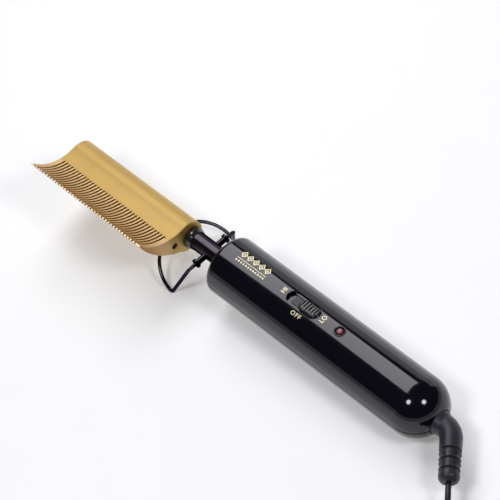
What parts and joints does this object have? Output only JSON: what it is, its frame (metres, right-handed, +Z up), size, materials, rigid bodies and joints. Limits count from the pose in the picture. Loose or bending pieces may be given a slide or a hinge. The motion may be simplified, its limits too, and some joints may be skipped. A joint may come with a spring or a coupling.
{
  "type": "electric hot comb",
  "caption": "Electric hot comb: metal comb head on a tube neck, round handle with slide switch and lamp, folding wire stand, swivelling elbow, mains cord and plug.",
  "frame": {"origin": "middle of the box round the comb and its elbow, at the height of the surface it rests on", "axes": "+X along the handle from the comb head to the cord, +Z up, teeth towards -Y; the handle axis is tipped by 2.55 degrees with the comb end up, as it rests on its stand"},
  "size_m": [0.3701, 0.0826, 0.0504],
  "materials": {
    "gold_metal": "satin gold-toned metal, bright on the teeth",
    "handle_plastic": "glossy black moulded plastic",
    "black_metal": "gloss black coated metal",
    "collar_plastic": "black heat-resistant moulding",
    "steel": "plain zinc-plated steel",
    "ceramic": "white ceramic or mica",
    "copper": "copper alloy contact strip",
    "board": "green circuit laminate",
    "chip_plastic": "black component moulding",
    "inner_plastic": "natural nylon",
    "film_box": "yellow film capacitor case",
    "resistor_body": "tan coated resistor",
    "bezel_plastic": "dark red ring",
    "lens_plastic": "milky pinkish-red lamp lens",
    "wire_insulation": "sleeved lead",
    "cord_rubber": "smooth black cord jacket and boot",
    "plug_plastic": "black moulded plug",
    "blade_brass": "bright brass blade"
  },
  "bodies": {
    "handle": {"comb_head": "gold_metal", "head_screw": "gold_metal", "heat_sensor": "resistor_body", "heater_core": "ceramic", "heater_winding": "steel", "heater_sleeve": "ceramic", "head_collar": "collar_plastic", "neck_tube": "black_metal", "thermal_fuse": "steel", "heater_leads": "wire_insulation", "sensor_leads": "wire_insulation", "neck_flange": "steel", "neck_bush": "collar_plastic", "pivot_tube": "black_metal", "pivot_washers": "black_metal", "upper_shell": "handle_plastic", "lower_shell": "handle_plastic", "shell_screws": "steel", "circuit_board": "board", "board_screws": "steel", "switch_housing": "chip_plastic", "switch_terminals": "copper", "lamp_bezel": "bezel_plastic", "lamp_lens": "lens_plastic", "control_chip": "chip_plastic", "triac": "chip_plastic", "capacitor": "film_box", "resistors": "resistor_body", "supply_leads": "wire_insulation", "brush_holder": "chip_plastic", "brush_springs": "copper", "swivel_bearing": "inner_plastic", "cord": "cord_rubber", "cord_coil": "cord_rubber", "coil_tie": "cord_rubber", "plug_body": "plug_plastic", "plug_blades": "blade_brass"},
    "stand": {"stand_wire": "black_metal"},
    "switch": {"switch_button": "handle_plastic", "switch_actuator": "inner_plastic", "switch_bridge": "copper"},
    "cord_swivel": {"cord_elbow": "cord_rubber", "ring_carrier": "inner_plastic", "slip_rings": "copper", "swivel_clip": "steel", "swivel_leads": "wire_insulation"}
  },
  "joints": [
    {"name": "stand_fold", "type": "hinge", "parent": "handle", "child": "stand", "pos_m": [-0.04276, 0.00366, 0.02301], "axis": [0, -1, 0], "range_deg": [0, 130]},
    {"name": "switch_slide", "type": "slide", "parent": "handle", "child": "switch", "axis": [-0.999, 0, 0.0445], "range_m": [0, 0.008]},
    {"name": "cord_swivel", "type": "hinge", "parent": "handle", "child": "cord_swivel", "pos_m": [0.11049, 0.00366, 0.01619], "axis": [-0.999, 0, 0.0445], "continuous": true}
  ]
}
